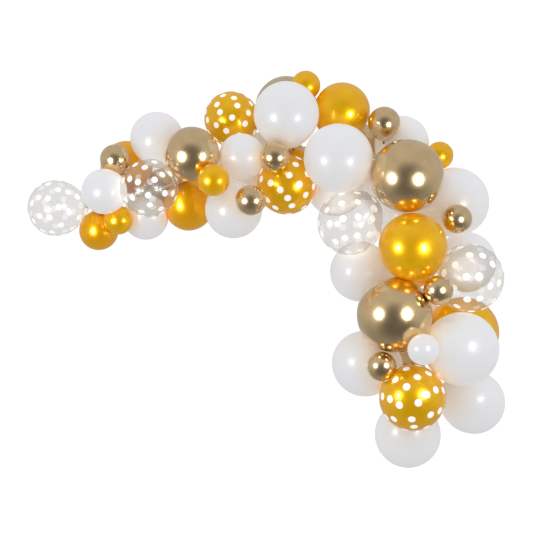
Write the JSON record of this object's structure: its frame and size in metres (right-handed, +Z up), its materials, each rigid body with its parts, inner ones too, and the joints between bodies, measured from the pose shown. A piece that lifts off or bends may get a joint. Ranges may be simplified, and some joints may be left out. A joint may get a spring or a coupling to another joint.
{
  "type": "balloon garland",
  "caption": "Corner garland of white, amber, champagne chrome and dotted balloons tied to a hidden tape that climbs, bends over a crown and hangs down one side.",
  "frame": {"origin": "middle of the back face of the tape tab at the crown, where the garland hangs on a wall or frame", "axes": "+Z up, +X to the right as seen from the front, +Y out of the back towards the wall, so the front looks along -Y"},
  "size_m": [1.9053, 0.6826, 1.5952],
  "materials": {
    "white_latex": "soft gloss white latex",
    "amber_latex": "amber pearl latex with a metallic sheen",
    "champagne_latex": "champagne chrome latex, mirror-like",
    "clear_dotted_film": "clear glossy film with printed white dots",
    "amber_dotted_latex": "glossy amber latex with printed white dots",
    "tape_plastic": "clear flexible plastic"
  },
  "bodies": {
    "root": {"clear_dotted_balloon_01": "clear_dotted_film", "clear_dotted_balloon_02": "clear_dotted_film", "clear_dotted_balloon_03": "clear_dotted_film", "clear_dotted_balloon_04": "clear_dotted_film", "amber_balloon_01": "amber_latex", "amber_balloon_02": "amber_latex", "amber_balloon_03": "amber_latex", "amber_balloon_04": "amber_latex", "amber_balloon_05": "amber_latex", "amber_balloon_06": "amber_latex", "amber_balloon_07": "amber_latex", "amber_balloon_08": "amber_latex", "white_balloon_01": "white_latex", "white_balloon_02": "white_latex", "white_balloon_03": "white_latex", "white_balloon_04": "white_latex", "white_balloon_05": "white_latex", "white_balloon_06": "white_latex", "white_balloon_07": "white_latex", "white_balloon_08": "white_latex", "white_balloon_09": "white_latex", "white_balloon_10": "white_latex", "white_balloon_11": "white_latex", "white_balloon_12": "white_latex", "white_balloon_13": "white_latex", "white_balloon_14": "white_latex", "white_balloon_15": "white_latex", "white_balloon_16": "white_latex", "white_balloon_17": "white_latex", "white_balloon_18": "white_latex", "white_balloon_19": "white_latex", "white_balloon_20": "white_latex", "white_balloon_21": "white_latex", "white_balloon_22": "white_latex", "chrome_balloon_01": "champagne_latex", "chrome_balloon_02": "champagne_latex", "chrome_balloon_03": "champagne_latex", "chrome_balloon_04": "champagne_latex", "chrome_balloon_05": "champagne_latex", "chrome_balloon_06": "champagne_latex", "chrome_balloon_07": "champagne_latex", "amber_dotted_balloon_01": "amber_dotted_latex", "amber_dotted_balloon_02": "amber_dotted_latex", "amber_dotted_balloon_03": "amber_dotted_latex", "small_amber_balloon_01": "amber_latex", "small_amber_balloon_02": "amber_latex", "small_amber_balloon_03": "amber_latex", "small_amber_balloon_04": "amber_latex", "small_chrome_balloon_01": "champagne_latex", "small_chrome_balloon_02": "champagne_latex", "small_chrome_balloon_03": "champagne_latex", "small_chrome_balloon_04": "champagne_latex", "small_chrome_balloon_05": "champagne_latex", "small_chrome_balloon_06": "champagne_latex", "small_chrome_balloon_07": "champagne_latex", "small_white_balloon_01": "white_latex", "tape": "tape_plastic"}
  },
  "joints": []
}
